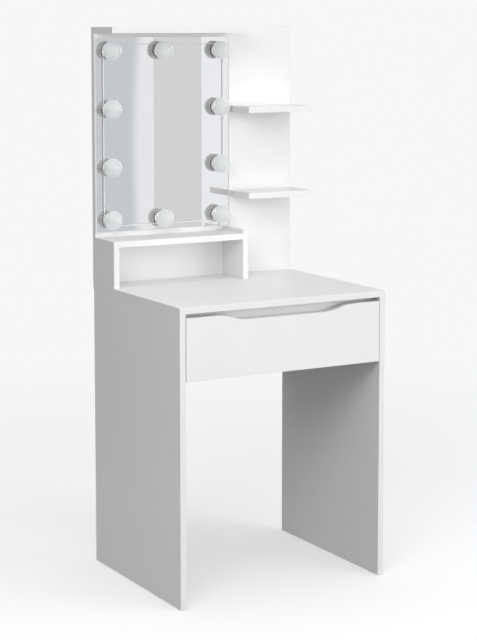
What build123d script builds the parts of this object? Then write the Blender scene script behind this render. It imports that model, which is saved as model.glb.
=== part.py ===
"""Vanity table with a mirror, a hutch, two open shelves, a light string and one drawer.

Millimetres. X runs left to right, Y front to back, Z up; the origin is on the floor under the
middle of the table.
"""
import os

from build123d import *

os.makedirs("parts", exist_ok=True)

# ---------------------------------------------------------------- driving dimensions
board = 16.0  # thickness of every melamine board

table_width = 600.0
table_depth = 494.0
table_height = 756.0
rear_overhang = 4.0  # the tabletop stands out behind the side panels
edge_ease = 0.6  # small radius on the edge banding

glide_height = 2.0
glide_radius = 7.0
glide_inset = 45.0
nail_radius = 1.5
nail_length = 14.0

front_rail_height = 40.0
front_rail_setback = 34.0  # from the table's front to the rail's face
rear_rail_height = 250.0

shelf_depth = 112.0  # hutch, shelves and top board stand out this far
bay_width = 402.0  # hutch and top board, from the table's left side
hutch_height = 123.0  # tabletop to the top of the hutch
hutch_lip = 9.0  # the hutch's right side stands above its top
shelf_start = 404.0  # from the table's left side
shelf_gap = 215.6  # clear height under each shelf
top_gap = 213.8  # clear height over the upper shelf

mirror_inset = 0.5  # from the back panel's left edge
mirror_width = 402.0
mirror_above_hutch = 13.0
mirror_below_top = 10.5
mirror_glass_thickness = 4.0
mirror_tape_thickness = 1.0
mirror_tape_width = 25.0
mirror_tape_count = 4
mirror_tape_margin = 10.0  # from the glass's lower and upper edges

bulb_radius = 25.0
bulb_wall = 1.5
bulb_centre = 20.0  # from the mirror's face to the globe's centre
bulb_margin_left = 39.5
bulb_margin_right = 36.0
bulb_margin_top = 35.0
bulb_margin_bottom = 32.5
bulb_pitch = 154.0
bulb_middle = 192.0  # the two middle bulbs, from the mirror's left edge
bulb_middle_drop = 2.5  # the lower middle bulb sits a little lower

base_height = 6.0
base_step = 0.2  # the base is this much smaller than the globe's mouth
base_wall = 1.5
base_gap = 0.3  # the skirt stays clear of the glass
boss_radius = 12.5
pad_radius = 11.5
pad_thickness = 1.0
spigot_height = 2.5
led_board_radius = 14.0
led_board_thickness = 1.2
led_size = 5.0
led_thickness = 1.0

cable_radius = 1.2
cable_offset = 16.5  # cable runs this far outside the bulbs' centres
cable_bend = 16.0
cable_clearance = 0.25
lead_offset = 6.5  # the lead goes down this far right of the last bulb
lead_bend = 8.0
lead_hole_radius = 4.0
grommet_radius = 6.0
grommet_flange = 1.2
grommet_length = 9.0

controller_width = 50.0
controller_depth = 30.0
controller_height = 10.0
controller_wall = 1.5
controller_cover = 1.2
controller_gap = 2.0  # from the back panel and beside the lead
controller_board = 1.2
controller_fit = 0.15
controller_corner = 2.0
controller_rim = 1.0  # thickness of the cover's two ribs
circuit_gap = 0.5  # round the circuit board
button_radius = 4.0
button_fit = 0.2
button_travel = 0.8
button_flange = 0.9
button_flange_width = 1.0
switch_size = 6.0
switch_gap = 0.1  # between the pressed button and the switch
inlet_width = 9.0
inlet_height = 3.0
socket_length = 8.0
socket_wall = 0.6
controller_screw_inset = 10.0  # from the housing's left end
controller_screw_gap = 3.5  # from the ends of the hutch's dowels
controller_screw_depth = 9.0  # from the housing's front

drawer_face_gap = 2.0  # each side of the drawer front
drawer_face_height = 157.5
drawer_face_top_gap = 10.5  # under the tabletop
grip_depth = 15.5
grip_left = 89.0  # from the drawer front's side to where the left curve starts
grip_right = 78.0  # from the drawer front's side to where the right curve ends
grip_run = 84.0  # length of each S curve
drawer_board = 12.0
drawer_rear_gap = 58.0  # behind the drawer box
drawer_height = 100.0
drawer_slide_gap = 12.5  # each side of the drawer box
drawer_lift = 20.0  # box's lower edge above the drawer front's
bottom_thickness = 3.0
bottom_lift = 14.0
groove_depth = 6.0
groove_fit = 0.1

slide_sheet = 1.0
slide_start = 4.0  # behind the drawer front
slide_margin = 1.0  # the cabinet rail ends this far before the drawer box
slide_play = 1.3  # spare height in the cabinet rail's channel
channel_flange = 9.0
roller_radius = 8.2
roller_width = 5.5
roller_fit = 0.3  # to the surface it rolls on
roller_bore = 2.05
roller_pin = 2.0
roller_inset = 10.0
pin_head = 0.8
pin_head_radius = 3.2
runner_flange = 7.5
foot_flange = 9.0

screw_radius = 2.5
screw_length = 50.0
screw_head = 4.75
screw_fit = 0.05
small_screw_radius = 1.5
small_screw_length = 10.0
small_head_radius = 3.8
small_head = 0.8

dowel_radius = 4.0
dowel_fit = 0.05
dowel_in_face = 11.0
dowel_in_edge = 19.0

cam_radius = 7.5
cam_depth = 12.5
cam_reach = 34.0  # from the joint to the cam's centre
cam_fit = 0.05
cam_bolt_radius = 3.5
bolt_thread_radius = 2.5
bolt_thread_length = 11.0
drawer_cam_radius = 6.0
drawer_cam_depth = 9.5
drawer_cam_reach = 24.0
drawer_bolt_radius = 2.5

side_dowel_insets = (22.0, 240.0)  # from the table's front
side_cam_insets = (90.0, 190.0)
front_rail_cam_drop = 13.0  # under the tabletop
front_rail_dowel_drop = 31.0
rear_rail_cam_inset = 65.0  # from the rail's lower and upper edges
rear_rail_dowel_inset = 25.0
wall_hole_radius = 3.0
wall_hole_inset = 60.0  # from the side panels
wall_hole_drop = 30.0
panel_screw_inset = 60.0  # from the back panel's sides
panel_dowel_inset = 150.0
bay_screw_left = 60.0  # from the bay's left end
bay_screw_right = 92.0  # from the bay's right end
shelf_screw_inset = 40.0  # from a shelf's ends
hutch_side_screw_lift = 50.0
drawer_cam_lift = 35.0  # from the drawer box's lower edge
drawer_cam_drop = 20.0  # from its upper edge
drawer_dowel_shift = 5.0  # over the middle of the box
drawer_back_screw_lift = 32.0
drawer_back_screw_drop = 18.0
slide_screw_front = 45.0  # from the cabinet rail's front end
slide_screw_rear = 55.0  # from its rear end
slide_screw_shift = 20.0  # the drawer rail's screws sit further back
drawer_rail_screw_lift = 6.0

# ---------------------------------------------------------------- places
left = -table_width / 2
right = table_width / 2
front = -table_depth / 2
rear = table_depth / 2
side_rear = rear - rear_overhang
top_low = table_height - board
inner_left = left + board
inner_right = right - board

panel_front = rear - board
shelf_front = panel_front - shelf_depth
bay_right = left + bay_width
shelf_left = left + shelf_start
hutch_high = table_height + hutch_height
hutch_low = hutch_high - board
lower_shelf = table_height + shelf_gap
upper_shelf = lower_shelf + board + shelf_gap
panel_high = upper_shelf + board + top_gap

glass_back = panel_front - mirror_tape_thickness
glass_front = glass_back - mirror_glass_thickness
mirror_left = left + mirror_inset
mirror_right = mirror_left + mirror_width
mirror_low = hutch_high + mirror_above_hutch
mirror_high = panel_high - board - mirror_below_top

bulb_left = mirror_left + bulb_margin_left
bulb_right = mirror_right - bulb_margin_right
bulb_mid = mirror_left + bulb_middle
row_1 = mirror_high - bulb_margin_top
row_2 = row_1 - bulb_pitch
row_3 = row_2 - bulb_pitch
row_4 = mirror_low + bulb_margin_bottom
mouth_radius = (bulb_radius**2 - (bulb_centre - base_height) ** 2) ** 0.5
base_radius = mouth_radius - base_step
bulbs = [
    (bulb_right, row_3),
    (bulb_right, row_2),
    (bulb_right, row_1),
    (bulb_mid, row_1),
    (bulb_left, row_1),
    (bulb_left, row_2),
    (bulb_left, row_3),
    (bulb_left, row_4),
    (bulb_mid, row_4 - bulb_middle_drop),
    (bulb_right, row_4),
]

cable_y = glass_front - cable_radius - cable_clearance / 2
lead_x = bulb_right + lead_offset
controller_rear = panel_front - controller_gap
controller_front = controller_rear - controller_depth
controller_right = lead_x + controller_wall + cable_radius + controller_gap + small_head_radius
controller_left = controller_right - controller_width
controller_low = hutch_low - controller_height
cover_high = controller_low + controller_cover
circuit_low = hutch_low - controller_wall - inlet_height - controller_board
circuit_high = circuit_low + controller_board
controller_screw_y = controller_front + controller_screw_depth
controller_screws = [
    (controller_left + controller_screw_inset, controller_screw_y),
    (bay_right - board - dowel_in_edge - controller_screw_gap, controller_screw_y),
]

face_left = inner_left + drawer_face_gap
face_right = inner_right - drawer_face_gap
face_high = top_low - drawer_face_top_gap
face_low = face_high - drawer_face_height
face_rear = front + board
box_left = inner_left + drawer_slide_gap
box_right = inner_right - drawer_slide_gap
box_low = face_low + drawer_lift
box_high = box_low + drawer_height
box_rear = side_rear - board - drawer_rear_gap
bottom_low = box_low + bottom_lift
bottom_high = bottom_low + bottom_thickness

channel_height = 2 * (roller_radius + slide_sheet) + roller_fit + slide_play
channel_low = box_low
channel_high = channel_low + channel_height
slide_front = face_rear + slide_start
slide_rear = box_rear - slide_margin
cabinet_roller_z = channel_high - 2 * slide_sheet - roller_fit - roller_radius
drawer_roller_z = channel_low + roller_fit + roller_radius
cabinet_roller_y = slide_front + roller_inset
drawer_roller_y = box_rear - roller_inset
runner_high = channel_high - slide_sheet

# ---------------------------------------------------------------- fastener places
side_dowels = [front + inset for inset in side_dowel_insets]
side_cams = [front + inset for inset in side_cam_insets]
front_rail_low = top_low - front_rail_height
front_rail_cam = top_low - front_rail_cam_drop
front_rail_dowel = top_low - front_rail_dowel_drop
front_rail_y = front + front_rail_setback
rear_rail_low = top_low - rear_rail_height
rear_rail_y = side_rear - board
rear_rail_cams = [rear_rail_low + rear_rail_cam_inset, top_low - rear_rail_cam_inset]
rear_rail_dowels = [rear_rail_low + rear_rail_dowel_inset, top_low - rear_rail_dowel_inset]
wall_holes = [inner_left + wall_hole_inset, inner_right - wall_hole_inset]
wall_hole_z = top_low - wall_hole_drop

hutch_mid_y = (shelf_front + panel_front) / 2
hutch_screw_y = hutch_mid_y - shelf_depth / 4
hutch_dowel_y = hutch_mid_y + shelf_depth / 4
hutch_left_x = left + board / 2
hutch_right_x = bay_right - board / 2
panel_y = panel_front + board / 2
panel_screws = [left + panel_screw_inset, 0.0, right - panel_screw_inset]
panel_dowels = [left + panel_dowel_inset, right - panel_dowel_inset]
bay_screws = [left + bay_screw_left, bay_right - bay_screw_right]
shelf_screws = [shelf_left + shelf_screw_inset, right - shelf_screw_inset]
hutch_side_screw_z = table_height + hutch_side_screw_lift
back_screws = [(x, hutch_high - board / 2) for x in bay_screws]
back_screws += [(x, panel_high - board / 2) for x in bay_screws]
back_screws += [(x, lower_shelf + board / 2) for x in shelf_screws]
back_screws += [(x, upper_shelf + board / 2) for x in shelf_screws]
back_screws += [(x, hutch_side_screw_z) for x in (hutch_left_x, hutch_right_x)]
rising_screws = [(x, panel_y) for x in panel_screws]
rising_screws += [(x, hutch_screw_y) for x in (hutch_left_x, hutch_right_x)]

drawer_cams = [box_low + drawer_cam_lift, box_high - drawer_cam_drop]
drawer_dowel_z = (box_low + box_high) / 2 + drawer_dowel_shift
drawer_back_screws = [box_low + drawer_back_screw_lift, box_high - drawer_back_screw_drop]
slide_screws = [
    slide_front + slide_screw_front,
    (slide_front + slide_rear) / 2,
    slide_rear - slide_screw_rear,
]
slide_screw_z = (channel_low + channel_high) / 2
drawer_rail_screw_z = channel_low + drawer_rail_screw_lift

X_AXIS = Vector(1, 0, 0)
Y_AXIS = Vector(0, 1, 0)
Z_AXIS = Vector(0, 0, 1)


# ---------------------------------------------------------------- shared shapes
def slab(x, y, z, mode=Mode.ADD):
    """A block between the given (low, high) values."""
    with Locations(((x[0] + x[1]) / 2, (y[0] + y[1]) / 2, (z[0] + z[1]) / 2)):
        Box(x[1] - x[0], y[1] - y[0], z[1] - z[0], mode=mode)


def eased_board(x, y, z, along):
    """A board with softened edges along one axis, as edge banding leaves them."""
    slab(x, y, z)
    fillet(edges().filter_by(along), radius=edge_ease)


def rod(start, way, radius, length, mode=Mode.ADD):
    """A cylinder from start along way."""
    with Locations(Plane(origin=start, z_dir=way)):
        Cylinder(radius, length, align=(Align.CENTER, Align.CENTER, Align.MIN), mode=mode)


def drill(start, inward, radius, depth):
    """A round hole from a face into the board."""
    with Locations(Plane(origin=start, z_dir=inward * -1)):
        Hole(radius, depth)


def screw_hole(start, inward, through):
    """A countersunk hole through a board, for a connecting screw."""
    with Locations(Plane(origin=start, z_dir=inward * -1)):
        CounterSinkHole(screw_radius + screw_fit, screw_head + screw_fit, depth=through)


def screw(start, inward, length=screw_length):
    """A connecting screw with its flat head flush at start and a cross recess."""
    rod(start, inward, screw_radius, length)
    cone = screw_head - screw_radius
    with Locations(Plane(origin=start, z_dir=inward)):
        Cone(screw_head, screw_radius, cone, align=(Align.CENTER, Align.CENTER, Align.MIN))
    cross_recess(start, inward, screw_head, cone / 2)


def cross_recess(start, inward, radius, depth):
    """A cross-shaped drive recess in a head."""
    with Locations(Plane(origin=start, z_dir=inward)):
        Box(radius * 1.2, radius * 0.22, 2 * depth, mode=Mode.SUBTRACT)
        Box(radius * 0.22, radius * 1.2, 2 * depth, mode=Mode.SUBTRACT)


def dowel(joint, into_face):
    """A dowel across a joint, deeper in the edge than in the face."""
    rod(joint - into_face * dowel_in_edge, into_face, dowel_radius, dowel_in_edge + dowel_in_face)


def dowel_face_hole(joint, into_face):
    drill(joint, into_face, dowel_radius + dowel_fit, dowel_in_face)


def dowel_edge_hole(joint, into_face):
    drill(joint, into_face * -1, dowel_radius + dowel_fit, dowel_in_edge)


def cam_holes(joint, into_face, open_way, thickness, radius, depth, reach, bolt):
    """The disc's pocket in the board's face and the bolt's bore from its edge."""
    centre = joint - into_face * reach + open_way * (thickness / 2)
    drill(centre, open_way * -1, radius + cam_fit, depth + cam_fit)
    drill(joint, into_face * -1, bolt + cam_fit, reach)


def cam_disc(joint, into_face, open_way, thickness, radius, depth, reach, bolt):
    """A cam disc with the bolt's bore in its rim and a cross recess in its face."""
    centre = joint - into_face * reach
    face = centre + open_way * (thickness / 2)
    rod(face, open_way * -1, radius, depth)
    rod(centre, into_face, bolt + cam_fit, radius * 1.2, mode=Mode.SUBTRACT)
    cross_recess(face, open_way * -1, radius, 1.5)


def cam_bolt(joint, into_face, reach, bolt):
    """A bolt that is screwed into one board and reaches the other board's cam disc."""
    rod(joint - into_face * reach, into_face, bolt, reach)
    rod(joint, into_face, bolt_thread_radius, bolt_thread_length)


def bolt_hole(joint, into_face):
    drill(joint, into_face, bolt_thread_radius + cam_fit, bolt_thread_length)


def small_screw(start, inward, length=small_screw_length):
    """A flat-headed sheet screw; start is where the head rests."""
    rod(start, inward, small_screw_radius, length)
    rod(start, inward * -1, small_head_radius, small_head)
    cross_recess(start - inward * small_head, inward, small_head_radius, small_head / 2)


def small_hole(start, inward, length=small_screw_length):
    drill(start, inward, small_screw_radius + screw_fit, length)


def save(part, name):
    part.label = name
    export_step(part, f"parts/{name}.step")


# Carcass joints, as (joint, direction into the drilled face, direction the cam opens).
carcass_cams = []
carcass_dowels = []
for side, inward in ((left, X_AXIS), (right, X_AXIS * -1)):
    middle = side + inward.X * board / 2
    inner = side + inward.X * board
    carcass_cams += [(Vector(middle, y, top_low), Z_AXIS, inward) for y in side_cams]
    carcass_dowels += [(Vector(middle, y, top_low), Z_AXIS) for y in side_dowels]
    rail_mid = front_rail_y + board / 2
    carcass_cams.append((Vector(inner, rail_mid, front_rail_cam), inward * -1, Y_AXIS))
    carcass_dowels.append((Vector(inner, rail_mid, front_rail_dowel), inward * -1))
    rail_mid = rear_rail_y + board / 2
    carcass_cams += [(Vector(inner, rail_mid, z), inward * -1, Y_AXIS * -1) for z in rear_rail_cams]
    carcass_dowels += [(Vector(inner, rail_mid, z), inward * -1) for z in rear_rail_dowels]
carcass_fit = (board, cam_radius, cam_depth, cam_reach, cam_bolt_radius)

upper_dowels = [(Vector(x, panel_y, table_height), Z_AXIS * -1) for x in panel_dowels]
upper_dowels += [
    (Vector(x, hutch_dowel_y, table_height), Z_AXIS * -1) for x in (hutch_left_x, hutch_right_x)
]
hutch_top_left_dowels = [
    (Vector(hutch_left_x, y, hutch_low), Z_AXIS) for y in (hutch_screw_y, hutch_dowel_y)
]
hutch_top_right_dowels = [
    (Vector(bay_right - board, y, hutch_low + board / 2), X_AXIS)
    for y in (hutch_screw_y, hutch_dowel_y)
]

drawer_fit = (drawer_board, drawer_cam_radius, drawer_cam_depth, drawer_cam_reach, drawer_bolt_radius)
drawer_cam_joints = []
drawer_dowels = []
for side, inward in ((box_left, X_AXIS), (box_right, X_AXIS * -1)):
    middle = side + inward.X * drawer_board / 2
    drawer_cam_joints += [(Vector(middle, face_rear, z), Y_AXIS * -1, inward) for z in drawer_cams]
    drawer_dowels.append((Vector(middle, face_rear, drawer_dowel_z), Y_AXIS * -1))

# ---------------------------------------------------------------- carcass
glide_places = [
    (x, y)
    for x in (left + board / 2, right - board / 2)
    for y in (front + glide_inset, side_rear - glide_inset)
]


def side_panel(outer, inward):
    """A side panel; outer is its outer face and inward points to the other panel."""
    inner = outer + inward.X * board
    with BuildPart() as panel:
        x_range = (min(outer, inner), max(outer, inner))
        eased_board(x_range, (front, side_rear), (glide_height, top_low), Axis.Z)
        for joint, into_face, opens in carcass_cams:
            if into_face.Z > 0:
                cam_holes(joint, into_face, opens, *carcass_fit)
            else:
                bolt_hole(joint, into_face)
        for joint, into_face in carcass_dowels:
            if into_face.Z > 0:
                dowel_edge_hole(joint, into_face)
            else:
                dowel_face_hole(joint, into_face)
        for x, y in glide_places:
            drill(Vector(x, y, glide_height), Z_AXIS, nail_radius + screw_fit, nail_length)
        for y in slide_screws:
            small_hole(Vector(inner, y, slide_screw_z), inward * -1)
    return panel.part


save(side_panel(left, X_AXIS), "side_panel_left")
save(side_panel(right, X_AXIS * -1), "side_panel_right")

with BuildPart() as tabletop:
    slab((left, right), (front, rear), (top_low, table_height))
    fillet(edges().filter_by(Axis.Z), radius=2 * edge_ease)
    fillet(edges().group_by(Axis.Z)[-1], radius=edge_ease)
    for joint, into_face, opens in carcass_cams:
        if into_face.Z > 0:
            bolt_hole(joint, into_face)
    for joint, into_face in carcass_dowels:
        if into_face.Z > 0:
            dowel_face_hole(joint, into_face)
    for joint, into_face in upper_dowels:
        dowel_face_hole(joint, into_face)
    for x, y in rising_screws:
        screw_hole(Vector(x, y, top_low), Z_AXIS, board + 1)
save(tabletop.part, "tabletop")


def cross_rail(y, low, high):
    """A rail between the side panels, with its cams and dowels."""
    with BuildPart() as rail:
        eased_board((inner_left, inner_right), (y, y + board), (low, high), Axis.X)
        for joint, into_face, opens in carcass_cams:
            if abs(joint.Y - y - board / 2) < 1 and into_face.Z == 0:
                cam_holes(joint, into_face, opens, *carcass_fit)
        for joint, into_face in carcass_dowels:
            if abs(joint.Y - y - board / 2) < 1 and into_face.Z == 0:
                dowel_edge_hole(joint, into_face)
        if y == rear_rail_y:
            for x in wall_holes:
                drill(Vector(x, y + board, wall_hole_z), Y_AXIS * -1, wall_hole_radius, board + 1)
    return rail.part


save(cross_rail(front_rail_y, front_rail_low, top_low), "front_rail")
save(cross_rail(rear_rail_y, rear_rail_low, top_low), "rear_rail")

with BuildPart() as glides:
    for x, y in glide_places:
        rod(Vector(x, y, 0), Z_AXIS, glide_radius, glide_height)
        rod(Vector(x, y, glide_height), Z_AXIS, nail_radius, nail_length)
    fillet(edges().filter_by(GeomType.CIRCLE).group_by(Axis.Z)[0], radius=edge_ease)
save(glides.part, "glides")

# ---------------------------------------------------------------- upper part
with BuildPart() as back_panel:
    eased_board((left, right), (panel_front, rear), (table_height, panel_high), Axis.Y)
    for x, z in back_screws:
        screw_hole(Vector(x, rear, z), Y_AXIS * -1, board + 1)
    for x in panel_screws:
        depth = screw_length - board
        drill(Vector(x, panel_y, table_height), Z_AXIS, screw_radius + screw_fit, depth)
    for joint, into_face in upper_dowels:
        if joint.Y > panel_front:
            dowel_edge_hole(joint, into_face)
save(back_panel.part, "back_panel")


def shelf_board(x, z, holes):
    """A horizontal board fixed to the back panel by screws into its rear edge."""
    with BuildPart() as shelf:
        eased_board(x, (shelf_front, panel_front), (z, z + board), Axis.X)
        for hole_x in holes:
            start = Vector(hole_x, panel_front, z + board / 2)
            drill(start, Y_AXIS * -1, screw_radius + screw_fit, screw_length - board)
    return shelf.part


save(shelf_board((left, bay_right), panel_high - board, bay_screws), "top_board")
save(shelf_board((shelf_left, right), lower_shelf, shelf_screws), "shelf_lower")
save(shelf_board((shelf_left, right), upper_shelf, shelf_screws), "shelf_upper")

with BuildPart() as hutch_top:
    add(shelf_board((left, bay_right - board), hutch_low, bay_screws))
    for joint, into_face in hutch_top_left_dowels:
        dowel_face_hole(joint, into_face)
    for joint, into_face in hutch_top_right_dowels:
        dowel_edge_hole(joint, into_face)
    drill(Vector(lead_x, cable_y, hutch_high), Z_AXIS * -1, lead_hole_radius, board + 1)
    for x, y in controller_screws:
        small_hole(Vector(x, y, hutch_low), Z_AXIS)
save(hutch_top.part, "hutch_top")


def hutch_side(x, high, top_dowels, into_edge):
    """An upright of the hutch between the tabletop and the hutch's top."""
    with BuildPart() as upright:
        eased_board((x - board / 2, x + board / 2), (shelf_front, panel_front), (table_height, high), Axis.Z)
        depth = screw_length - board
        drill(Vector(x, hutch_screw_y, table_height), Z_AXIS, screw_radius + screw_fit, depth)
        drill(Vector(x, panel_front, hutch_side_screw_z), Y_AXIS * -1, screw_radius + screw_fit, depth)
        dowel_edge_hole(Vector(x, hutch_dowel_y, table_height), Z_AXIS * -1)
        for joint, into_face in top_dowels:
            if into_edge:
                dowel_edge_hole(joint, into_face)
            else:
                dowel_face_hole(joint, into_face)
    return upright.part


save(hutch_side(hutch_left_x, hutch_low, hutch_top_left_dowels, True), "hutch_side_left")
save(
    hutch_side(hutch_right_x, hutch_high + hutch_lip, hutch_top_right_dowels, False),
    "hutch_side_right",
)

# ---------------------------------------------------------------- mirror
with BuildPart() as mirror_glass:
    slab((mirror_left, mirror_right), (glass_front, glass_back), (mirror_low, mirror_high))
    chamfer(edges().group_by(Axis.Y)[0], length=edge_ease)
save(mirror_glass.part, "mirror_glass")

with BuildPart() as adhesive_pads:
    tape_pitch = mirror_width / mirror_tape_count
    tape_z = (mirror_low + mirror_tape_margin, mirror_high - mirror_tape_margin)
    for i in range(mirror_tape_count):
        x = mirror_left + tape_pitch * (i + 0.5)
        half = mirror_tape_width / 2
        slab((x - half, x + half), (glass_back, panel_front), tape_z)
    for x, z in bulbs:
        rod(Vector(x, glass_front, z), Y_AXIS * -1, pad_radius, pad_thickness)
save(adhesive_pads.part, "adhesive_pads")

# ---------------------------------------------------------------- light string
loop_left = bulb_left - cable_offset
loop_right = bulb_right + cable_offset
loop_high = row_1 + cable_offset
loop_low = row_4 - cable_offset
cable_start = (loop_right, cable_y, row_3 - base_radius / 3)
cable_route = [
    cable_start,
    (loop_right, cable_y, loop_high),
    (loop_left, cable_y, loop_high),
    (loop_left, cable_y, loop_low),
    (lead_x, cable_y, loop_low),
    (lead_x, cable_y, circuit_high),
]


def cable_tube(radius):
    """The cable along its whole route, or the room that it needs."""
    with BuildPart() as tube:
        with BuildLine() as route:
            FilletPolyline(*cable_route, radius=[cable_bend, cable_bend, cable_bend, lead_bend])
        with BuildSketch(Plane(origin=cable_start, z_dir=Z_AXIS)):
            Circle(radius)
        sweep(path=route.wires()[0])
    return tube.part


light_string_cable = cable_tube(cable_radius)
save(light_string_cable, "light_string_cable")
cable_room = cable_tube(cable_radius + cable_clearance)


def bulb_base(x, z):
    """A round cap with an adhesive boss behind it and a spigot for the globe."""
    with BuildPart() as base:
        plate = base_height - base_wall
        out = Y_AXIS * -1
        centre = Vector(x, glass_front, z)
        rod(centre + out * base_gap, out, base_radius, base_height - base_gap)
        rod(centre, out, base_radius - base_wall, plate, mode=Mode.SUBTRACT)
        rod(centre + out * pad_thickness, out, boss_radius, plate - pad_thickness)
        spigot = spigot_radius()
        rod(centre + out * base_height, out, spigot, spigot_height)
        rod(centre + out * base_height, out, spigot - base_wall, spigot_height, mode=Mode.SUBTRACT)
        add(cable_room, mode=Mode.SUBTRACT)
    return base.part


def globe_plane(x, z):
    """The plane where the globe meets its base, facing outward."""
    return Plane(origin=(x, glass_front - base_height, z), z_dir=(0, -1, 0))


def spigot_radius():
    """The spigot just fits the globe's mouth."""
    inside = bulb_radius - bulb_wall
    return (inside**2 - (bulb_centre - base_height) ** 2) ** 0.5 - groove_fit


for number, (x, z) in enumerate(bulbs, start=1):
    save(bulb_base(x, z), f"bulb_base_{number:02d}")
    with BuildPart() as globe:
        with Locations((x, glass_front - bulb_centre, z)):
            Sphere(bulb_radius)
            Sphere(bulb_radius - bulb_wall, mode=Mode.SUBTRACT)
        split(bisect_by=globe_plane(x, z), keep=Keep.TOP)
    save(globe.part, f"bulb_globe_{number:02d}")

with BuildPart() as led_boards:
    for x, z in bulbs:
        board_back = Vector(x, glass_front - base_height, z)
        rod(board_back, Y_AXIS * -1, led_board_radius, led_board_thickness)
        led_y = board_back.Y - led_board_thickness
        half = led_size / 2
        slab((x - half, x + half), (led_y - led_thickness, led_y), (z - half, z + half))
save(led_boards.part, "led_boards")

with BuildPart() as lead_grommet:
    rod(Vector(lead_x, cable_y, hutch_high), Z_AXIS, grommet_radius, grommet_flange)
    neck = lead_hole_radius - cable_clearance
    rod(Vector(lead_x, cable_y, hutch_high), Z_AXIS * -1, neck, grommet_length)
    fillet(edges().filter_by(GeomType.CIRCLE).group_by(Axis.Z)[-1], radius=edge_ease)
    bore = cable_radius + cable_clearance
    top = Vector(lead_x, cable_y, hutch_high + grommet_flange)
    drill(top, Z_AXIS * -1, bore, grommet_length + 2 * grommet_flange)
save(lead_grommet.part, "lead_grommet")

# ---------------------------------------------------------------- light controller
circuit_inset = controller_wall + circuit_gap
circuit_x = (controller_left + circuit_inset, controller_right - circuit_inset)
circuit_y = (controller_front + circuit_inset, controller_rear - circuit_inset)
inlet_y = (controller_front + controller_rear) / 2
inlet_z = (cover_high, circuit_low)
button_x = controller_left + controller_width * 0.55
button_y = inlet_y
flange_low = cover_high + controller_fit

with BuildPart() as controller_housing:
    outer_x = (controller_left, controller_right)
    outer_y = (controller_front, controller_rear)
    slab(outer_x, outer_y, (cover_high, hutch_low))
    fillet(edges().filter_by(Axis.Z), radius=controller_corner)
    wall = controller_wall
    slab(
        (outer_x[0] + wall, outer_x[1] - wall),
        (outer_y[0] + wall, outer_y[1] - wall),
        (cover_high, hutch_low - wall),
        mode=Mode.SUBTRACT,
    )
    for x in ((outer_x[0] + wall, outer_x[0] + 2 * wall), (outer_x[1] - 2 * wall, outer_x[1] - wall)):
        slab(x, (outer_y[0] + wall, outer_y[1] - wall), (circuit_high, hutch_low - wall))
    half = inlet_width / 2
    slab((outer_x[0], outer_x[0] + wall), (inlet_y - half, inlet_y + half), inlet_z, mode=Mode.SUBTRACT)
    drill(Vector(lead_x, cable_y, hutch_low), Z_AXIS * -1, cable_radius + cable_clearance, 2 * wall)
    for x, y in controller_screws:
        small_hole(Vector(x, y, hutch_low), Z_AXIS * -1, 2 * wall)
save(controller_housing.part, "controller_housing")

with BuildPart() as controller_cover_plate:
    slab(outer_x, outer_y, (controller_low, cover_high))
    fillet(edges().filter_by(Axis.Z), radius=controller_corner)
    fillet(edges().group_by(Axis.Z)[0], radius=edge_ease)
    rim_in = controller_wall + controller_fit
    slab(
        (outer_x[0] + rim_in, outer_x[1] - rim_in),
        (outer_y[0] + rim_in, outer_y[0] + rim_in + controller_rim),
        (cover_high, circuit_low),
    )
    slab(
        (outer_x[0] + rim_in, outer_x[1] - rim_in),
        (outer_y[1] - rim_in - controller_rim, outer_y[1] - rim_in),
        (cover_high, circuit_low),
    )
    drill(Vector(button_x, button_y, controller_low), Z_AXIS, button_radius + button_fit, 2 * board)
save(controller_cover_plate.part, "controller_cover")

with BuildPart() as controller_button:
    proud = controller_low - button_travel
    rod(Vector(button_x, button_y, proud), Z_AXIS, button_radius, flange_low - proud)
    fillet(edges().filter_by(GeomType.CIRCLE).group_by(Axis.Z)[0], radius=edge_ease / 2)
    rod(Vector(button_x, button_y, flange_low), Z_AXIS, button_radius + button_flange_width, button_flange)
save(controller_button.part, "controller_button")

with BuildPart() as controller_circuit:
    slab(circuit_x, circuit_y, (circuit_low, circuit_high))
    switch_low = flange_low + button_flange + button_travel + switch_gap
    half = switch_size / 2
    slab((button_x - half, button_x + half), (button_y - half, button_y + half), (switch_low, circuit_low))
    socket_x = (circuit_x[0], circuit_x[0] + socket_length)
    half = inlet_width / 2 - controller_fit
    slab(socket_x, (inlet_y - half, inlet_y + half), (inlet_z[0] + controller_fit, circuit_low))
    slab(
        (socket_x[0], socket_x[1] - socket_wall),
        (inlet_y - half + socket_wall, inlet_y + half - socket_wall),
        (inlet_z[0] + controller_fit + socket_wall, circuit_low - socket_wall),
        mode=Mode.SUBTRACT,
    )
save(controller_circuit.part, "controller_board")

# ---------------------------------------------------------------- drawer
with BuildPart() as drawer_front:
    low_edge = face_high - grip_depth
    left_high = face_left + grip_left
    left_low = left_high + grip_run
    right_high = face_right - grip_right
    right_low = right_high - grip_run
    with BuildSketch(Plane.XZ.offset(-face_rear)) as outline:
        with BuildLine():
            Polyline(
                (left_high, face_high),
                (face_left, face_high),
                (face_left, face_low),
                (face_right, face_low),
                (face_right, face_high),
                (right_high, face_high),
            )
            Spline(
                (right_high, face_high),
                (right_low, low_edge),
                tangents=((-1, 0), (-1, 0)),
            )
            Line((right_low, low_edge), (left_low, low_edge))
            Spline(
                (left_low, low_edge),
                (left_high, face_high),
                tangents=((-1, 0), (-1, 0)),
            )
        make_face()
    extrude(amount=board)
    fillet(edges().filter_by(Axis.Y), radius=edge_ease)
    for joint, into_face, opens in drawer_cam_joints:
        bolt_hole(joint, into_face)
    for joint, into_face in drawer_dowels:
        dowel_face_hole(joint, into_face)
    slab(
        (box_left + drawer_board - groove_depth, box_right - drawer_board + groove_depth),
        (face_rear - groove_depth, face_rear),
        (bottom_low, bottom_high + groove_fit),
        mode=Mode.SUBTRACT,
    )
save(drawer_front.part, "drawer_front")


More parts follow.
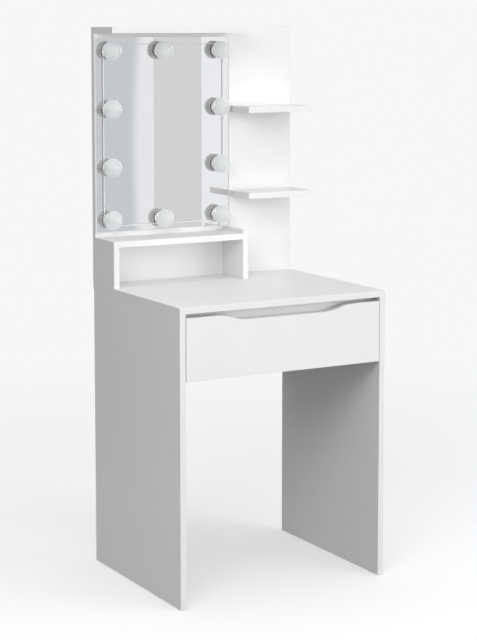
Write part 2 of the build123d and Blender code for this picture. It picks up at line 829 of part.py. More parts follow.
def drawer_side(outer, inward):
    """A drawer side; outer is its outer face and inward points to the other side."""
    inner = outer + inward.X * drawer_board
    with BuildPart() as side:
        x_range = (min(outer, inner), max(outer, inner))
        slab(x_range, (face_rear, box_rear), (box_low, box_high))
        fillet(edges().filter_by(Axis.Y).group_by(Axis.Z)[-1], radius=edge_ease)
        for joint, into_face, opens in drawer_cam_joints:
            cam_holes(joint, into_face, opens, *drawer_fit)
        for joint, into_face in drawer_dowels:
            dowel_edge_hole(joint, into_face)
        for z in drawer_back_screws:
            screw_hole(Vector(outer, box_rear - drawer_board / 2, z), inward, drawer_board + 1)
        for y in slide_screws:
            start = Vector(outer, y + slide_screw_shift, drawer_rail_screw_z)
            small_hole(start, inward)
        groove = inner - inward.X * groove_depth
        slab(
            (min(inner, groove), max(inner, groove)),
            (face_rear, box_rear),
            (bottom_low, bottom_high + groove_fit),
            mode=Mode.SUBTRACT,
        )
    return side.part


save(drawer_side(box_left, X_AXIS), "drawer_side_left")
save(drawer_side(box_right, X_AXIS * -1), "drawer_side_right")

with BuildPart() as drawer_back:
    span = (box_left + drawer_board, box_right - drawer_board)
    slab(span, (box_rear - drawer_board, box_rear), (bottom_high, box_high))
    fillet(edges().filter_by(Axis.X).group_by(Axis.Z)[-1], radius=edge_ease)
    for z in drawer_back_screws:
        for x, way in ((span[0], X_AXIS), (span[1], X_AXIS * -1)):
            start = Vector(x, box_rear - drawer_board / 2, z)
            drill(start, way, screw_radius + screw_fit, screw_length - drawer_board)
save(drawer_back.part, "drawer_back")

with BuildPart() as drawer_bottom:
    reach = groove_depth - groove_fit
    slab(
        (span[0] - reach, span[1] + reach),
        (face_rear - reach, box_rear),
        (bottom_low, bottom_high),
    )
save(drawer_bottom.part, "drawer_bottom")


# ---------------------------------------------------------------- roller slides
def cabinet_rail(wall, inward):
    """A steel channel on the side panel, open towards the drawer, with its roller's pin."""
    with BuildPart() as rail:
        web = wall + inward.X * slide_sheet
        lip = wall + inward.X * channel_flange
        y_range = (slide_front, slide_rear)
        low = channel_low - slide_sheet
        high = channel_high + slide_sheet
        slab((min(wall, web), max(wall, web)), y_range, (low, high))
        slab((min(wall, lip), max(wall, lip)), y_range, (low, channel_low))
        slab((min(wall, lip), max(wall, lip)), y_range, (channel_high, high))
        for y in slide_screws:
            small_hole(Vector(web, y, slide_screw_z), inward * -1, 2 * slide_sheet)
        pin_start = Vector(web, cabinet_roller_y, cabinet_roller_z)
        pin_length = roller_width + 4 * controller_fit
        rod(pin_start, inward, roller_pin, pin_length + pin_head)
        rod(pin_start + inward * pin_length, inward, pin_head_radius, pin_head)
    return rail.part


def drawer_rail(side, outward):
    """A steel angle under the drawer's side, with the runner flange and its roller's pin."""
    with BuildPart() as rail:
        web = side + outward.X * slide_sheet
        runner = side + outward.X * (slide_sheet + runner_flange)
        foot = side - outward.X * foot_flange
        y_range = (face_rear, box_rear)
        slab((min(side, web), max(side, web)), y_range, (box_low - slide_sheet, runner_high))
        slab((min(web, foot), max(web, foot)), y_range, (box_low - slide_sheet, box_low))
        slab(
            (min(web, runner), max(web, runner)),
            y_range,
            (runner_high - slide_sheet, runner_high),
        )
        for y in slide_screws:
            start = Vector(web, y + slide_screw_shift, drawer_rail_screw_z)
            small_hole(start, outward * -1, 2 * slide_sheet)
        pin_start = Vector(web, drawer_roller_y, drawer_roller_z)
        pin_length = roller_width + 4 * controller_fit
        rod(pin_start, outward, roller_pin, pin_length + pin_head)
        rod(pin_start + outward * pin_length, outward, pin_head_radius, pin_head)
    return rail.part


def roller(start, way):
    """A plastic roller on its pin; start is the pin's root."""
    with BuildPart() as wheel:
        rod(start + way * (2 * controller_fit), way, roller_radius, roller_width)
        fillet(edges().filter_by(GeomType.CIRCLE), radius=edge_ease)
        rod(start, way, roller_bore, 2 * roller_width, mode=Mode.SUBTRACT)
    return wheel.part


for name, wall, box_side, inward in (
    ("left", inner_left, box_left, X_AXIS),
    ("right", inner_right, box_right, X_AXIS * -1),
):
    save(cabinet_rail(wall, inward), f"cabinet_rail_{name}")
    save(drawer_rail(box_side, inward * -1), f"drawer_rail_{name}")
    cabinet_pin = Vector(wall + inward.X * slide_sheet, cabinet_roller_y, cabinet_roller_z)
    drawer_pin = Vector(box_side - inward.X * slide_sheet, drawer_roller_y, drawer_roller_z)
    save(roller(cabinet_pin, inward), f"cabinet_roller_{name}")
    save(roller(drawer_pin, inward * -1), f"drawer_roller_{name}")

# ---------------------------------------------------------------- fasteners
with BuildPart() as table_cam_fittings:
    for joint, into_face, opens in carcass_cams:
        cam_disc(joint, into_face, opens, *carcass_fit)
    for joint, into_face, opens in carcass_cams:
        cam_bolt(joint, into_face, cam_reach, cam_bolt_radius)
save(table_cam_fittings.part, "table_cam_fittings")

with BuildPart() as drawer_cam_fittings:
    for joint, into_face, opens in drawer_cam_joints:
        cam_disc(joint, into_face, opens, *drawer_fit)
    for joint, into_face, opens in drawer_cam_joints:
        cam_bolt(joint, into_face, drawer_cam_reach, drawer_bolt_radius)
save(drawer_cam_fittings.part, "drawer_cam_fittings")

with BuildPart() as table_dowels:
    for joint, into_face in carcass_dowels + upper_dowels:
        dowel(joint, into_face)
    for joint, into_face in hutch_top_left_dowels + hutch_top_right_dowels:
        dowel(joint, into_face)
save(table_dowels.part, "table_dowels")

with BuildPart() as table_screws:
    for x, z in back_screws:
        screw(Vector(x, rear, z), Y_AXIS * -1)
    for x, y in rising_screws:
        screw(Vector(x, y, top_low), Z_AXIS)
    for y in slide_screws:
        small_screw(Vector(inner_left + slide_sheet, y, slide_screw_z), X_AXIS * -1)
        small_screw(Vector(inner_right - slide_sheet, y, slide_screw_z), X_AXIS)
    for x, y in controller_screws:
        small_screw(Vector(x, y, hutch_low - controller_wall), Z_AXIS)
save(table_screws.part, "table_screws")

with BuildPart() as drawer_fasteners:
    for x, way in ((box_left, X_AXIS), (box_right, X_AXIS * -1)):
        for z in drawer_back_screws:
            screw(Vector(x, box_rear - drawer_board / 2, z), way)
        for y in slide_screws:
            head = x - way.X * slide_sheet
            small_screw(Vector(head, y + slide_screw_shift, drawer_rail_screw_z), way)
    for joint, into_face in drawer_dowels:
        dowel(joint, into_face)
save(drawer_fasteners.part, "drawer_fasteners")
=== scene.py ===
import math

import bpy
import numpy as np
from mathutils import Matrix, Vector


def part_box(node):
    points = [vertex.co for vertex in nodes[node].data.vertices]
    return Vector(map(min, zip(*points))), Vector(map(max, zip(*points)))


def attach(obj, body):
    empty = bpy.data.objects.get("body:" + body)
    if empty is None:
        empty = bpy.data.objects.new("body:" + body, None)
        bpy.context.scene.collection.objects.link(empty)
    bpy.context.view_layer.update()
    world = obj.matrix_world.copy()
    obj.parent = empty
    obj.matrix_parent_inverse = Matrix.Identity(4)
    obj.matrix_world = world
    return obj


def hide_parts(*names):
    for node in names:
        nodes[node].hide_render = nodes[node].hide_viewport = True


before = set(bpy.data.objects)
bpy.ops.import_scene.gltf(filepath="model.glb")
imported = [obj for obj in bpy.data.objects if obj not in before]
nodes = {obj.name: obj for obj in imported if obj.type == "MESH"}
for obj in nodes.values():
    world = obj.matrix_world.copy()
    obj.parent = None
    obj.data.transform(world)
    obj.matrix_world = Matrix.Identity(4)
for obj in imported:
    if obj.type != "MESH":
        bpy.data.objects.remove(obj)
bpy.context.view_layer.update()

# ---------------------------------------------------------------- camera
# A long lens a little above head height, to the left of the table and looking half right,
# with the sensor shifted down so that the upright boards stay nearly upright in the frame.
LENS = 101.06
SENSOR_DROP = 0.15
SENSOR_WIDTH = 36.0
FARTHEST_SEEN = 60.0
VIEW_TURN = math.radians(29.57)
VIEW_DROP = math.radians(6.34)
VIEW_POINT = (-2.2993, -4.0593, 1.4397)
camera_data = bpy.data.cameras.new("table_camera")
camera_data.sensor_width = SENSOR_WIDTH
camera_data.lens = LENS
camera_data.shift_y = -SENSOR_DROP
camera_data.clip_end = FARTHEST_SEEN
camera = bpy.data.objects.new("table_camera", camera_data)
camera.location = VIEW_POINT
camera.rotation_euler = (math.pi / 2 - VIEW_DROP, 0.0, -VIEW_TURN)
bpy.context.scene.collection.objects.link(camera)
bpy.context.scene.camera = camera
bpy.context.scene.view_settings.view_transform = "Standard"


# ---------------------------------------------------------------- white boards
# Chipboard 16 mm thick, faced with white melamine: a hard satin skin with a fine pearl, and
# every cut edge closed by a glued plastic band whose seam shows as a hairline on the face.
class Amount:
    """A value that varies over a surface: + - * and < on it add their Math nodes."""

    def __init__(self, tree, socket):
        self.tree = tree
        self.socket = socket

    def math(self, operation, first, second):
        node = self.tree.nodes.new("ShaderNodeMath")
        node.operation = operation
        feed(self.tree, node.inputs[0], first)
        feed(self.tree, node.inputs[1], second)
        return Amount(self.tree, node.outputs[0])

    def __add__(self, other):
        return self.math("ADD", self, other)

    def __sub__(self, other):
        return self.math("SUBTRACT", self, other)

    def __rsub__(self, other):
        return self.math("SUBTRACT", other, self)

    def __mul__(self, other):
        return self.math("MULTIPLY", self, other)

    def __lt__(self, other):
        return self.math("LESS_THAN", self, other)

    __radd__ = __add__
    __rmul__ = __mul__

    def size(self):
        return self.math("ABSOLUTE", self, 0.0)

    def lesser(self, other):
        return self.math("MINIMUM", self, other)


def feed(tree, socket, value):
    """Links a varying value to a socket, or sets the socket to a constant."""
    if isinstance(value, Amount):
        tree.links.new(value.socket, socket)
    else:
        socket.default_value = value


class Finish:
    """One finish of the table, as a material with its nodes."""

    def __init__(self, name, **surface):
        self.material = bpy.data.materials.new(name)
        self.material.use_nodes = True
        self.tree = self.material.node_tree
        self.shader = self.tree.nodes["Principled BSDF"]
        self.set(**surface)

    def set(self, **surface):
        """Sets or links the shader's sockets; Base_Color stands for Base Color."""
        for name, value in surface.items():
            feed(self.tree, self.shader.inputs[name.replace("_", " ")], value)

    def node(self, kind, settings=(), output=0, **sockets):
        """Any other node: its settings first, then its sockets' values or links."""
        made = self.tree.nodes.new("ShaderNode" + kind)
        for name, value in dict(settings).items():
            setattr(made, name, value)
        for name, value in sockets.items():
            feed(self.tree, made.inputs[socket_place(name)], value)
        return Amount(self.tree, made.outputs[output])

    def place(self):
        """The point on the object, in metres."""
        return self.node("TexCoord", output=3)

    def direction(self):
        """The way the surface faces, as a unit vector."""
        return self.node("TexCoord", output=1)

    def grain(self, scale, detail=2.0, stretch=(1.0, 1.0, 1.0), low=0.35, high=0.65):
        """Noise of that many features a metre, pulled to run from 0 to 1."""
        where = self.node("Mapping", Vector=self.place(), Scale=stretch)
        noise = self.node("TexNoise", Vector=where, Scale=scale, Detail=detail)
        return self.node("MapRange", Value=noise, From_Min=low, From_Max=high)

    def blend(self, share, first, second):
        """The first colour where share is 0 and the second where it is 1."""
        mix = {"data_type": "RGBA"}
        return self.node("Mix", mix, output=2, in_0=share, in_6=first, in_7=second)

    def relief(self, height, depth):
        """Bumps of that depth, in metres."""
        normal = self.node("Bump", Height=height, Strength=1.0, Distance=depth)
        self.set(Normal=normal)


def socket_place(name):
    """A socket by name, with spaces for underscores, or by number as in_6."""
    return int(name[3:]) if name.startswith("in_") else name.replace("_", " ")


def paint(node_name, finish):
    """Gives a CAD node its finish."""
    for material_slot in nodes[node_name].material_slots:
        material_slot.material = finish.material


BAND_THICKNESS = 0.0008
SEAM_HALF_WIDTH = 0.00012
FACE_SHARE = 0.7
RUBBED_WIDTH = 0.004
RUBBED_SHARE = 0.35
PEARL_DEPTH = 0.00002
MELAMINE = (0.86, 0.86, 0.855, 1.0)
MELAMINE_CLOUD = (0.845, 0.846, 0.842, 1.0)
MELAMINE_SEAM = (0.66, 0.655, 0.64, 1.0)
MELAMINE_WORN = (0.80, 0.795, 0.78, 1.0)


def border_distance(finish, low, high):
    """How far a point of the board's face is from the face's nearest border, in metres, and
    whether the surface there is one of the two broad faces."""
    spans = [high[axis] - low[axis] for axis in range(3)]
    thickness_axis = spans.index(min(spans))
    distances = []
    for axis in range(3):
        if axis != thickness_axis:
            middle = (low[axis] + high[axis]) / 2
            along = finish.node("SeparateXYZ", output=axis, Vector=finish.place())
            distances.append(spans[axis] / 2 - (along - middle).size())
    facing = finish.node("SeparateXYZ", output=thickness_axis, Vector=finish.direction())
    return distances[0].lesser(distances[1]), 1.0 - (facing.size() < FACE_SHARE)


def melamine_board(node_name):
    """White melamine with its pearl, its edge band's seam and slightly rubbed borders."""
    finish = Finish("melamine_" + node_name, Specular_IOR_Level=0.2)
    low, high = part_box(node_name)
    border, on_face = border_distance(finish, low, high)
    seam = ((border - BAND_THICKNESS).size() < SEAM_HALF_WIDTH) * on_face
    rubbed = finish.node("MapRange", Value=border, From_Min=RUBBED_WIDTH, From_Max=0.0)
    rubbed = rubbed * finish.grain(60.0, detail=4.0) * RUBBED_SHARE
    cloud = finish.grain(9.0, detail=3.0)
    colour = finish.blend(cloud, MELAMINE, MELAMINE_CLOUD)
    colour = finish.blend(rubbed, colour, MELAMINE_WORN)
    colour = finish.blend(seam * 0.8, colour, MELAMINE_SEAM)
    pearl = finish.grain(1400.0, detail=2.0)
    finish.set(Base_Color=colour, Roughness=0.4 + 0.1 * finish.grain(120.0) + 0.1 * seam)
    finish.relief(pearl - seam * 1.5, PEARL_DEPTH)
    paint(node_name, finish)


BOARDS = [
    "side_panel_left", "side_panel_right", "tabletop", "front_rail", "rear_rail", "back_panel",
    "top_board", "hutch_side_left", "hutch_side_right", "hutch_top", "shelf_lower",
    "shelf_upper", "drawer_front", "drawer_side_left", "drawer_side_right", "drawer_back",
]
for board_name in BOARDS:
    melamine_board(board_name)

# ---------------------------------------------------------------- drawer bottom
# Hardboard 3 mm thick, painted white on its upper face, with the faint mesh of its press.
MESH_LINES = 260.0
MESH_DEPTH = 0.00004
hardboard = Finish("drawer_bottom_paint", Specular_IOR_Level=0.35)
press_mesh = [
    hardboard.node("TexWave", {"wave_type": "BANDS", "bands_direction": way}, output=1,
                   Vector=hardboard.place(), Scale=MESH_LINES, Distortion=1.5)
    for way in ("X", "Y")
]
board_cloud = hardboard.grain(14.0, detail=4.0)
hardboard.set(
    Base_Color=hardboard.blend(board_cloud, (0.84, 0.84, 0.83, 1), (0.8, 0.8, 0.78, 1)),
    Roughness=0.45 + 0.15 * hardboard.grain(200.0),
)
hardboard.relief(press_mesh[0] * press_mesh[1], MESH_DEPTH)
paint("drawer_bottom", hardboard)

# ---------------------------------------------------------------- mirror
# A sheet of 4 mm float glass with ground edges, silvered on the back and backed with paint.
SILVER_THICKNESS = 0.0002
SILVER_INSET = 0.0003
SILVER_GAP = 0.00002
SILVER_EDGE = 0.00005
GROUND_EDGE = 0.0006
mirror_low, mirror_high = (Vector(corner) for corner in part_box("mirror_glass"))


def mesh_piece(name, points, faces, body, finish, smooth=False):
    """A new piece from points and faces, with its finish, body and slot."""
    mesh = bpy.data.meshes.new(name)
    mesh.from_pydata(np.asarray(points).tolist(), [], faces)
    mesh.materials.append(finish.material)
    mesh.shade_smooth() if smooth else mesh.shade_flat()
    mesh.update()
    piece = bpy.data.objects.new(name, mesh)
    bpy.context.scene.collection.objects.link(piece)
    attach(piece, body)
    return piece


def sheet_with_ground_edge(low, high, ground):
    """Three rings of four corners, from the back of the sheet to its front, each the sheet's
    outline drawn in by the ring's own inset: middle + corner sign * (half size - inset). The
    last ring is drawn in, so the front corners are ground off at 45 degrees."""
    insets = np.array([0.0, 0.0, ground])[:, None, None]
    depths = np.repeat([high.y, low.y + ground, low.y], 4)
    corners = np.array([(-1, -1), (1, -1), (1, 1), (-1, 1)])
    middle = np.array([(low.x + high.x) / 2, (low.z + high.z) / 2])
    half = np.array([(high.x - low.x) / 2, (high.z - low.z) / 2])
    outline = (middle + corners * (half - insets)).reshape(-1, 2)
    points = np.column_stack([outline[:, 0], depths, outline[:, 1]])
    here = np.arange(8).reshape(2, 4)
    beside = np.roll(here, -1, axis=1)
    walls = np.stack([here, beside, beside + 4, here + 4], axis=-1).reshape(-1, 4)
    return points, [[3, 2, 1, 0]] + walls.tolist() + [[8, 9, 10, 11]]


clear_glass = Finish(
    "mirror_clear_glass",
    Base_Color=(0.995, 0.997, 0.996, 1.0),
    Roughness=0.0,
    IOR=1.5,
    Transmission_Weight=1.0,
)
silvering = Finish("mirror_silvering", Metallic=1.0, Specular_IOR_Level=0.5)
silver_age = silvering.grain(5.0, detail=4.0)
silvering.set(
    Base_Color=silvering.blend(silver_age, (0.93, 0.935, 0.935, 1), (0.92, 0.93, 0.93, 1)),
    Roughness=0.004 + 0.004 * silver_age,
)
ground_edge = Finish("mirror_ground_edge", Specular_IOR_Level=0.5)
grinding = ground_edge.grain(900.0, detail=3.0)
ground_edge.set(
    Base_Color=ground_edge.blend(grinding, (0.84, 0.87, 0.86, 1), (0.76, 0.80, 0.79, 1)),
    Roughness=0.35 + 0.2 * grinding,
    # A painted glow lightens the ground edges, which light through the glass would leave dark.
    Emission_Color=(0.95, 1.0, 0.98, 1.0),
    Emission_Strength=0.30,
)
ground_edge.relief(grinding, 0.00001)
glass_high = mirror_high - Vector((0, SILVER_THICKNESS, 0))
points, faces = sheet_with_ground_edge(mirror_low, glass_high, GROUND_EDGE)
mirror_pane = mesh_piece("mirror_pane", points, faces, "table", clear_glass)
mirror_pane.data.materials.append(ground_edge.material)
rim_index = np.ones(len(faces), dtype=np.int32)
rim_index[[0, -1]] = 0
mirror_pane.data.polygons.foreach_set("material_index", rim_index)
silver_low = Vector((mirror_low.x, glass_high.y, mirror_low.z))
silver_low += Vector((SILVER_INSET, SILVER_GAP, SILVER_INSET))
silver_high = mirror_high - Vector((SILVER_INSET, 0, SILVER_INSET))
points, faces = sheet_with_ground_edge(silver_low, silver_high, SILVER_EDGE)
mesh_piece("mirror_silver", points, faces, "table", silvering)
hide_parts("mirror_glass")

# ---------------------------------------------------------------- adhesive pads
# Double-sided foam between the mirror and the panel, and under each bulb's base.
foam = Finish("foam_tape", Specular_IOR_Level=0.2)
foam_cells = foam.node("TexVoronoi", {"feature": "F1"}, Vector=foam.place(), Scale=2500.0)
foam.set(
    Base_Color=foam.blend(foam_cells, (0.8, 0.8, 0.79, 1), (0.66, 0.66, 0.65, 1)),
    Roughness=0.8 + 0.15 * foam_cells,
)
foam.relief(foam_cells, 0.00008)
paint("adhesive_pads", foam)

# ---------------------------------------------------------------- bulb globes
# Ten opal plastic globes, 50 mm across, blown thin and cut flat where they clip to their bases.
# A painted glow makes the unlit globes look lit: paler on the front half, and darker, as painted
# shade, on the half that faces the mirror.
GLOBE_RADIUS = 0.025
GLOBE_WALL = 0.0015
GLOBE_STEPS = 96
RING_COUNT = 48
LIP_STEPS = 7
SHADE_START = 0.005
SHADE_END = -0.004


def turned(profile, axis_point, steps):
    """A profile of (radius, height out of the mirror) pairs turned about an axis along -Y.
    Both ends of the profile are on the axis, so the surface closes in two poles."""
    radius, height = np.array(profile).T
    turn = np.linspace(0.0, 2 * math.pi, steps, endpoint=False)
    ring_r = radius[1:-1, None]
    ring_h = np.broadcast_to(height[1:-1, None], (len(radius) - 2, steps))
    x = axis_point[0] + ring_r * np.cos(turn)
    z = axis_point[2] + ring_r * np.sin(turn)
    rings = np.stack([x, axis_point[1] - ring_h, z], axis=-1).reshape(-1, 3)
    poles = [(axis_point[0], axis_point[1] - h, axis_point[2]) for h in (height[0], height[-1])]
    points = np.concatenate([rings, poles])
    row = np.arange(len(radius) - 3)[:, None] * steps
    here = row + np.arange(steps)
    beside = row + np.roll(np.arange(steps), -1)
    walls = np.stack([here, beside, beside + steps, here + steps], axis=-1).reshape(-1, 4)
    first = np.arange(steps)
    next_one = np.roll(first, -1)
    last = (len(radius) - 3) * steps
    start_cap = np.stack([np.full(steps, len(rings)), next_one, first], axis=-1)
    end_cap = np.stack([np.full(steps, len(rings) + 1), first + last, next_one + last], axis=-1)
    return points, walls.tolist() + start_cap.tolist() + end_cap.tolist()


def globe_profile(radius, wall, centre_height, mouth_height):
    """Two arcs about the globe's centre, joined by a rounded lip at its mouth: from the pole
    out along the outer sphere to the mouth, round the lip, and back along the inner sphere."""
    outer_end = math.acos((centre_height - mouth_height - wall / 2) / radius)
    inner_end = math.acos((centre_height - mouth_height - wall / 2) / (radius - wall))
    outer = np.linspace(math.pi, outer_end, RING_COUNT)
    inner = np.linspace(inner_end, math.pi, RING_COUNT)
    lip = np.linspace(0.0, math.pi, LIP_STEPS)[1:-1]
    outer_r, outer_h = radius * np.sin(outer), centre_height - radius * np.cos(outer)
    inner_r = (radius - wall) * np.sin(inner)
    inner_h = centre_height - (radius - wall) * np.cos(inner)
    lip_r = (outer_r[-1] + inner_r[0]) / 2 + np.cos(lip) * (outer_r[-1] - inner_r[0]) / 2
    lip_h = mouth_height + wall / 2 - np.sin(lip) * wall / 2
    outer_r[0] = inner_r[-1] = 0.0
    return list(zip(np.concatenate([outer_r, lip_r, inner_r]),
                    np.concatenate([outer_h, lip_h, inner_h])))


GLOBES = [f"bulb_globe_{number:02d}" for number in range(1, 11)]
globe_low, globe_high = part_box(GLOBES[0])
glass_face = mirror_low.y
centre_height = glass_face - (globe_low[1] + GLOBE_RADIUS)
mouth_height = glass_face - globe_high[1]
globe_middle = glass_face - centre_height
opal = Finish("opal_globe", Specular_IOR_Level=0.5, IOR=1.49, Coat_Roughness=0.04)
opal_haze = opal.grain(70.0, detail=3.0)
# Painted glow and shade: the emission is brighter on each globe's front half than on its rear
# half.
opal_depth = opal.node("SeparateXYZ", output=1, Vector=opal.place())
painted_glow_front = opal.node("MapRange", {"interpolation_type": "SMOOTHSTEP"}, Value=opal_depth,
                       From_Min=globe_middle + SHADE_START,
                       From_Max=globe_middle + SHADE_END)
opal.set(
    Base_Color=opal.blend(opal_haze, (0.33, 0.333, 0.333, 1), (0.30, 0.303, 0.306, 1)),
    Roughness=0.14 + 0.06 * opal.grain(300.0),
    Coat_Weight=0.5,
    Emission_Color=opal.blend(painted_glow_front, (0.22, 0.22, 0.22, 1), (0.40, 0.41, 0.415, 1)),
    Emission_Strength=1.0,
)
opal.relief(opal.grain(900.0), 0.000015)
profile = globe_profile(GLOBE_RADIUS, GLOBE_WALL, centre_height, mouth_height)
for globe_name in GLOBES:
    low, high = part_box(globe_name)
    axis_point = ((low[0] + high[0]) / 2, glass_face, (low[2] + high[2]) / 2)
    points, faces = turned(profile, axis_point, GLOBE_STEPS)
    shell = mesh_piece(globe_name + "_shell", points, faces, "table", opal, True)
    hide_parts(globe_name)

# ---------------------------------------------------------------- bulb bases and controller
# Small injection mouldings in glossy white: the round caps behind the globes, the grommet that
# takes the lead through the hutch top, and the controller's two halves under it.
moulding = Finish("white_moulding", Specular_IOR_Level=0.5)
moulding_flow = moulding.grain(40.0, detail=4.0)
moulding.set(
    Base_Color=moulding.blend(moulding_flow, (0.80, 0.80, 0.79, 1), (0.775, 0.775, 0.77, 1)),
    Roughness=0.24 + 0.12 * moulding.grain(500.0),
)
moulding.relief(moulding.grain(1800.0), 0.000012)
for number in range(1, 11):
    paint(f"bulb_base_{number:02d}", moulding)
for node_name in ("lead_grommet", "controller_housing", "controller_cover"):
    paint(node_name, moulding)

button_grip = Finish("button_grey", Specular_IOR_Level=0.35)
button_speckle = button_grip.grain(300.0)
button_grip.set(
    Base_Color=button_grip.blend(button_speckle, (0.42, 0.43, 0.44, 1), (0.36, 0.37, 0.38, 1)),
    Roughness=0.5 + 0.15 * button_grip.grain(900.0),
)
button_grip.relief(button_grip.grain(2500.0), 0.00003)
paint("controller_button", button_grip)

# ---------------------------------------------------------------- LED and controller boards
# Thin boards with a white or green solder mask over faint copper tracks.
def solder_mask(name, node_name, mask, track):
    """A mask colour with lighter tracks where a brick pattern's joints run."""
    finish = Finish(name, Specular_IOR_Level=0.5)
    tracks = finish.node("TexBrick", output=1, Vector=finish.place(), Scale=250.0,
                         Mortar_Size=0.06)
    finish.set(Base_Color=finish.blend(tracks, mask, track), Roughness=0.3 + 0.1 * tracks)
    finish.relief(tracks, 0.00003)
    paint(node_name, finish)


WHITE_MASK, WHITE_TRACK = (0.82, 0.81, 0.74, 1), (0.88, 0.87, 0.8, 1)
GREEN_MASK, GREEN_TRACK = (0.03, 0.2, 0.08, 1), (0.08, 0.32, 0.14, 1)
solder_mask("led_board_mask", "led_boards", WHITE_MASK, WHITE_TRACK)
solder_mask("controller_board_mask", "controller_board", GREEN_MASK, GREEN_TRACK)

# ---------------------------------------------------------------- light string cable
# One thin white cable that lies on the glass and runs under every bulb's base.
sheath = Finish("cable_sheath", Specular_IOR_Level=0.4)
sheath_cloud = sheath.grain(90.0, detail=3.0)
sheath.set(
    Base_Color=sheath.blend(sheath_cloud, (0.88, 0.88, 0.875, 1), (0.84, 0.84, 0.835, 1)),
    Roughness=0.42 + 0.14 * sheath.grain(700.0),
    # A faint painted glow lightens the sheath.
    Emission_Color=(1.0, 1.0, 1.0, 1.0),
    Emission_Strength=0.05,
)
sheath.relief(sheath.grain(2200.0), 0.00002)
paint("light_string_cable", sheath)

# ---------------------------------------------------------------- roller slides
# Roll-formed steel under a white epoxy coat, with nylon rollers on riveted pins.
epoxy = Finish("slide_epoxy", Specular_IOR_Level=0.5)
epoxy_orange_peel = epoxy.grain(600.0)
epoxy_cloud = epoxy.grain(25.0, detail=4.0)
epoxy.set(
    Base_Color=epoxy.blend(epoxy_cloud, (0.81, 0.81, 0.80, 1), (0.77, 0.77, 0.76, 1)),
    Roughness=0.28 + 0.12 * epoxy_orange_peel,
)
epoxy.relief(epoxy_orange_peel, 0.00004)
nylon = Finish("roller_nylon", Specular_IOR_Level=0.4)
nylon_cloud = nylon.grain(200.0, detail=3.0)
nylon.set(
    Base_Color=nylon.blend(nylon_cloud, (0.72, 0.72, 0.69, 1), (0.62, 0.62, 0.59, 1)),
    Roughness=0.4 + 0.2 * nylon.grain(500.0),
)
nylon.relief(nylon.grain(1500.0), 0.00003)
for side in ("left", "right"):
    paint("cabinet_rail_" + side, epoxy)
    paint("drawer_rail_" + side, epoxy)
    paint("cabinet_roller_" + side, nylon)
    paint("drawer_roller_" + side, nylon)

# ---------------------------------------------------------------- fasteners and glides
# Zinc-plated cams, bolts and screws, fluted beech dowels, and plastic glides with a nail.
zinc = Finish("zinc_plate", Metallic=1.0)
zinc_spangle = zinc.node("TexVoronoi", {"feature": "F1"}, Vector=zinc.place(), Scale=700.0)
zinc.set(
    Base_Color=zinc.blend(zinc_spangle, (0.62, 0.63, 0.64, 1), (0.48, 0.49, 0.5, 1)),
    Roughness=0.3 + 0.25 * zinc_spangle,
)
zinc.relief(zinc_spangle, 0.00002)
for node_name in ("table_cam_fittings", "drawer_cam_fittings", "table_screws", "drawer_fasteners"):
    paint(node_name, zinc)

beech = Finish("beech_dowel", Specular_IOR_Level=0.3)
beech_grain = beech.grain(500.0, detail=4.0, stretch=(1.0, 1.0, 0.12))
beech.set(
    Base_Color=beech.blend(beech_grain, (0.66, 0.48, 0.30, 1), (0.50, 0.34, 0.2, 1)),
    Roughness=0.55 + 0.2 * beech_grain,
)
beech.relief(beech_grain, 0.0001)
paint("table_dowels", beech)

slider = Finish("glide_plastic", Specular_IOR_Level=0.4)
slider_cloud = slider.grain(150.0)
slider.set(
    Base_Color=slider.blend(slider_cloud, (0.66, 0.66, 0.65, 1), (0.58, 0.58, 0.57, 1)),
    Roughness=0.45 + 0.2 * slider.grain(400.0),
)
slider.relief(slider.grain(1200.0), 0.00004)
paint("glides", slider)

# ---------------------------------------------------------------- floor and backdrop
# A pale studio floor that fades into an even pale surround.
FLOOR_REACH = 4.0
FADE_END = 3.2
FADE_START = 0.9
FLOOR_GLOW = 0.39
SURROUND_RADIUS = 25.0
SURROUND = 0.93


def flat_card(name, corners, finish):
    """A stage rectangle from its four corners."""
    mesh = bpy.data.meshes.new(name)
    mesh.from_pydata(corners, [], [(0, 1, 2, 3)])
    mesh.materials.append(finish.material)
    card = bpy.data.objects.new(name, mesh)
    bpy.context.scene.collection.objects.link(card)
    return card


floor_paint = Finish(
    "studio_floor",
    Base_Color=(0.62, 0.62, 0.62, 1),
    Roughness=0.8,
    Specular_IOR_Level=0.0,
    Emission_Color=(1.0, 1.0, 1.0, 1.0),
    Emission_Strength=FLOOR_GLOW,
)
away = floor_paint.node("VectorMath", {"operation": "LENGTH"}, output=1,
                        Vector=floor_paint.place())
solid = floor_paint.node("MapRange", {"interpolation_type": "SMOOTHSTEP"}, Value=away,
                         From_Min=FADE_END, From_Max=FADE_START)
floor_paint.set(Alpha=solid)
signs = ((-1, -1), (1, -1), (1, 1), (-1, 1))
floor_corners = [(x * FLOOR_REACH, y * FLOOR_REACH, 0) for x, y in signs]
floor = flat_card("studio_floor", floor_corners, floor_paint)
floor.visible_diffuse = False


def glow(name, colour, strength=1.0):
    """A surface that only shines."""
    return Finish(name, Base_Color=(0, 0, 0, 1), Specular_IOR_Level=0.0, Emission_Color=colour,
                  Emission_Strength=strength)


bpy.ops.mesh.primitive_uv_sphere_add(segments=48, ring_count=24, radius=SURROUND_RADIUS)
surround = bpy.context.object
surround.name = "surround"
surround.data.materials.append(glow("surround_glow", (1.0, 1.0, 1.0, 1), SURROUND).material)
surround.visible_diffuse = False
surround.visible_glossy = False
surround.visible_transmission = False
surround.visible_shadow = False

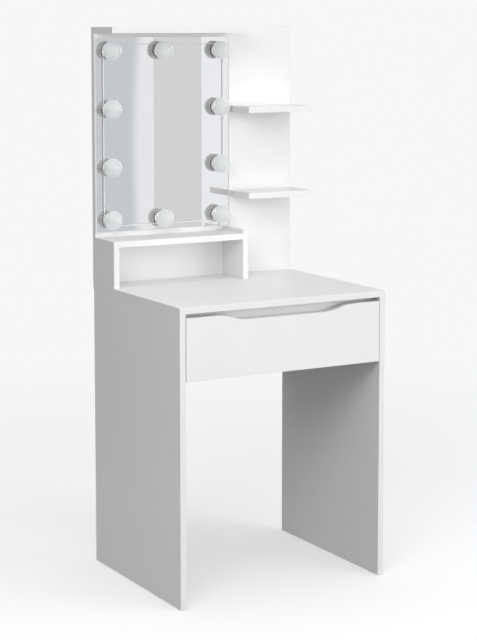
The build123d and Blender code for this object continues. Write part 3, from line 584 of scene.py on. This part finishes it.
# ---------------------------------------------------------------- reflection cards
# What the mirror faces across the room: a grey-blue wall that turns bright past a soft bulged
# edge, then a grey wall and a white one, as upright cards that only reflections see.
CARD_Y = -2.5
CARD_LOW = -0.2
CARD_HIGH = 3.2
BLUE_GREY = (0.612, 0.620, 0.647, 1)
BRIGHT = (0.864, 0.857, 0.878, 1)
CURTAIN_EDGE = 1.170
CURTAIN_SOFTNESS = 0.03
CURTAIN_BULGE = 0.10
CURTAIN_MIDDLE = 0.9


def reflection_card(name, left, right, shine):
    """An upright rectangle facing the mirror."""
    corners = [(left, CARD_Y, CARD_LOW), (right, CARD_Y, CARD_LOW),
               (right, CARD_Y, CARD_HIGH), (left, CARD_Y, CARD_HIGH)]
    card = flat_card(name, corners, shine)
    card.visible_camera = False
    card.visible_diffuse = False
    card.visible_shadow = False


curtain = glow("curtain_glow", BLUE_GREY)
across = curtain.node("SeparateXYZ", output=0, Vector=curtain.place())
upward = curtain.node("SeparateXYZ", output=2, Vector=curtain.place()) - CURTAIN_MIDDLE
edge_run = across + CURTAIN_BULGE * (CURTAIN_BULGE - upward * upward)
curtain_share = curtain.node("MapRange", {"interpolation_type": "SMOOTHSTEP"}, Value=edge_run,
                             From_Min=CURTAIN_EDGE - CURTAIN_SOFTNESS,
                             From_Max=CURTAIN_EDGE + CURTAIN_SOFTNESS)
curtain.set(Emission_Color=curtain.blend(curtain_share, BLUE_GREY, BRIGHT))
CARD_BORDERS = (0.30, 1.256, 1.493, 2.60)
reflection_card("card_curtain", *CARD_BORDERS[0:2], curtain)
reflection_card("card_grey", *CARD_BORDERS[1:3], glow("grey_glow", (0.693, 0.69, 0.69, 1)))
reflection_card("card_white", *CARD_BORDERS[2:4], glow("white_glow", (0.895, 0.892, 0.918, 1)))

# ---------------------------------------------------------------- light
# A broad window light from the front right, dimmer fills from the front, above and the left,
# a small lamp that glints on the globes, and a pale room that is brightest overhead.
AIM = Vector((0.0, 0.0, 0.9))
ROOM_COLOUR = (0.985, 0.99, 1.0, 1.0)
ROOM_LEVEL = 0.36
ROOM_DIMMEST = 0.04
ROOM_LEAN = (0.02, -0.12, 0.46)


def soft_light(name, place, width, height, power, mirrored=False):
    """A rectangular area light that looks at the table; a mirrored one shows in shiny pieces."""
    data = bpy.data.lights.new(name, "AREA")
    data.shape = "RECTANGLE"
    data.size = width
    data.size_y = height
    data.energy = power
    lamp = bpy.data.objects.new(name, data)
    lamp.location = place
    lamp.rotation_euler = (AIM - Vector(place)).to_track_quat("-Z", "Y").to_euler()
    lamp.visible_glossy = mirrored
    bpy.context.scene.collection.objects.link(lamp)


soft_light("window_light", (2.85, -3.5, 1.4), 2.4, 2.0, 56.0, mirrored=True)
soft_light("front_fill", (-0.5, -4.6, 0.8), 2.0, 1.6, 32.0)
soft_light("ceiling_fill", (0.3, -0.5, 3.3), 1.8, 1.8, 9.0)
soft_light("left_fill", (-2.1, -2.1, 2.3), 1.4, 1.4, 30.0)
soft_light("small_lamp", (1.6, -2.45, 2.05), 0.3, 0.3, 1.5, mirrored=True)
room = bpy.data.worlds.new("room")
room.use_nodes = True
room_tree = room.node_tree
way = room_tree.nodes.new("ShaderNodeTexCoord")
lean = room_tree.nodes.new("ShaderNodeVectorMath")
lean.operation = "DOT_PRODUCT"
lean.inputs[1].default_value = ROOM_LEAN
room_tree.links.new(way.outputs["Generated"], lean.inputs[0])
level = Amount(room_tree, lean.outputs["Value"]) + ROOM_LEVEL
level = level.math("MAXIMUM", level, ROOM_DIMMEST)
backdrop = room_tree.nodes["Background"]
backdrop.inputs["Color"].default_value = ROOM_COLOUR
feed(room_tree, backdrop.inputs["Strength"], level)
bpy.context.scene.world = room
